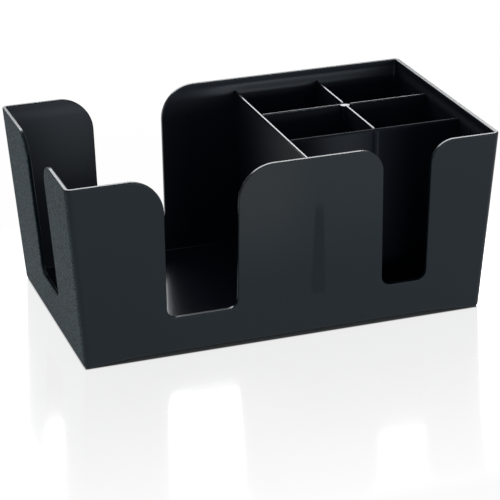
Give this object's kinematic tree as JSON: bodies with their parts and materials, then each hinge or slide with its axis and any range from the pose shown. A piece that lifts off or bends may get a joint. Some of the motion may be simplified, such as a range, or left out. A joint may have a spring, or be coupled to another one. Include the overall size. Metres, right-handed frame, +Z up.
{
  "type": "bar caddy",
  "caption": "Open-topped plastic bar caddy: a notched napkin bay, small cells and a long compartment, with lift-out dividers.",
  "frame": {"origin": "on the counter, under the middle of the rim", "axes": "+X along the length, away from the napkin bay; +Y to the back, away from the wall with two notches; +Z up"},
  "size_m": [0.245, 0.145, 0.105],
  "materials": {
    "moulded_tub": "satin, finely grained outside",
    "moulded_divider": "smooth, half gloss",
    "rubber_foot": "matt"
  },
  "bodies": {
    "tub": {"caddy_tub": "moulded_tub", "front_left_foot": "rubber_foot", "front_right_foot": "rubber_foot", "rear_left_foot": "rubber_foot", "rear_right_foot": "rubber_foot"},
    "long_divider": {"long_divider": "moulded_divider"},
    "rear_cross_divider": {"rear_cross_divider": "moulded_divider"},
    "front_cross_divider": {"front_cross_divider": "moulded_divider"},
    "short_divider": {"short_divider": "moulded_divider"}
  },
  "joints": [
    {"name": "long_divider_lift", "type": "slide", "parent": "tub", "child": "long_divider", "axis": [0, 0, 1], "range_m": [0, 0.11]},
    {"name": "rear_cross_divider_lift", "type": "slide", "parent": "tub", "child": "rear_cross_divider", "axis": [0, 0, 1], "range_m": [0, 0.11]},
    {"name": "front_cross_divider_lift", "type": "slide", "parent": "tub", "child": "front_cross_divider", "axis": [0, 0, 1], "range_m": [0, 0.11]},
    {"name": "short_divider_lift", "type": "slide", "parent": "rear_cross_divider", "child": "short_divider", "axis": [0, 0, 1], "range_m": [0, 0.11]}
  ]
}
